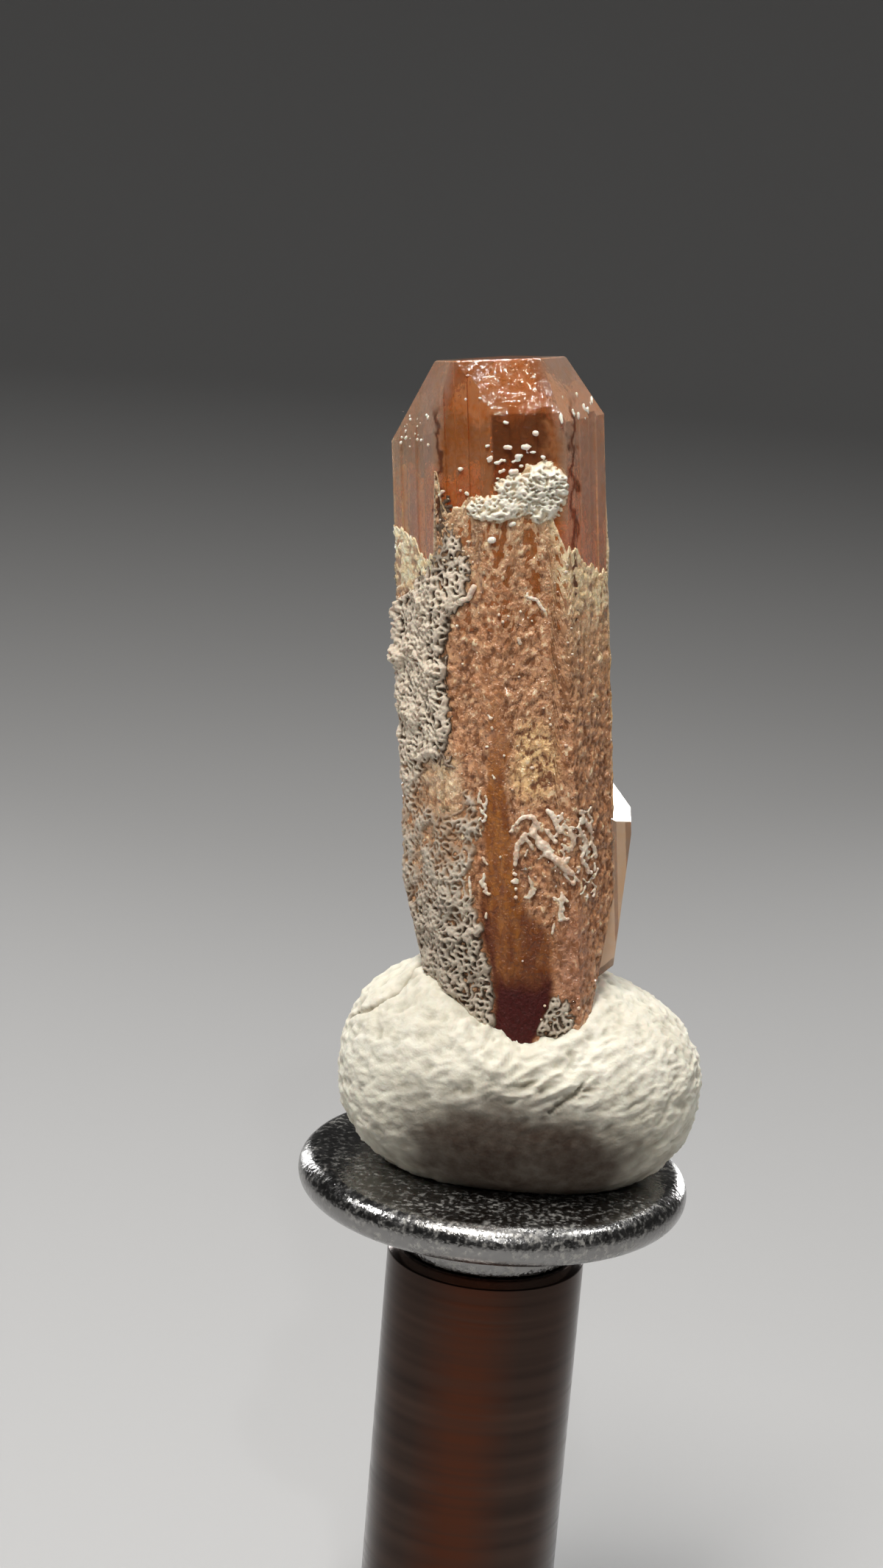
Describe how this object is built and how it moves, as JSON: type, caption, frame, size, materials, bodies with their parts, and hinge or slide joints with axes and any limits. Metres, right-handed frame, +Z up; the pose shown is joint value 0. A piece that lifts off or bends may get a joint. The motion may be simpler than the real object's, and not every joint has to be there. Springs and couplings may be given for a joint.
{
  "type": "topaz crystal specimen",
  "caption": "Natural striated topaz prism with sloping end facets and a clay crust, held upright in a ball of mounting putty on a flanged metal post with a plain foot.",
  "frame": {"origin": "centre of the foot's flat underside, on the post's axis", "axes": "+Z up along the post towards the crystal, -Y towards the pictured front, +X to the right seen from the front"},
  "size_m": [0.02, 0.02, 0.0641],
  "materials": {
    "topaz": "clear orange-brown crystal, glassy at the top, etched and frosted below",
    "crust": "granular dried clay",
    "putty": "matt, finely wrinkled mounting putty",
    "post_head": "bright polished metal with fine pitting",
    "post_rod": "polished rod with fine turning marks",
    "post_foot": "satin turned metal"
  },
  "bodies": {
    "root": {"topaz_crystal": "topaz", "putty": "putty", "post_head": "post_head", "post_rod": "post_rod", "post_foot": "post_foot"}
  },
  "joints": []
}
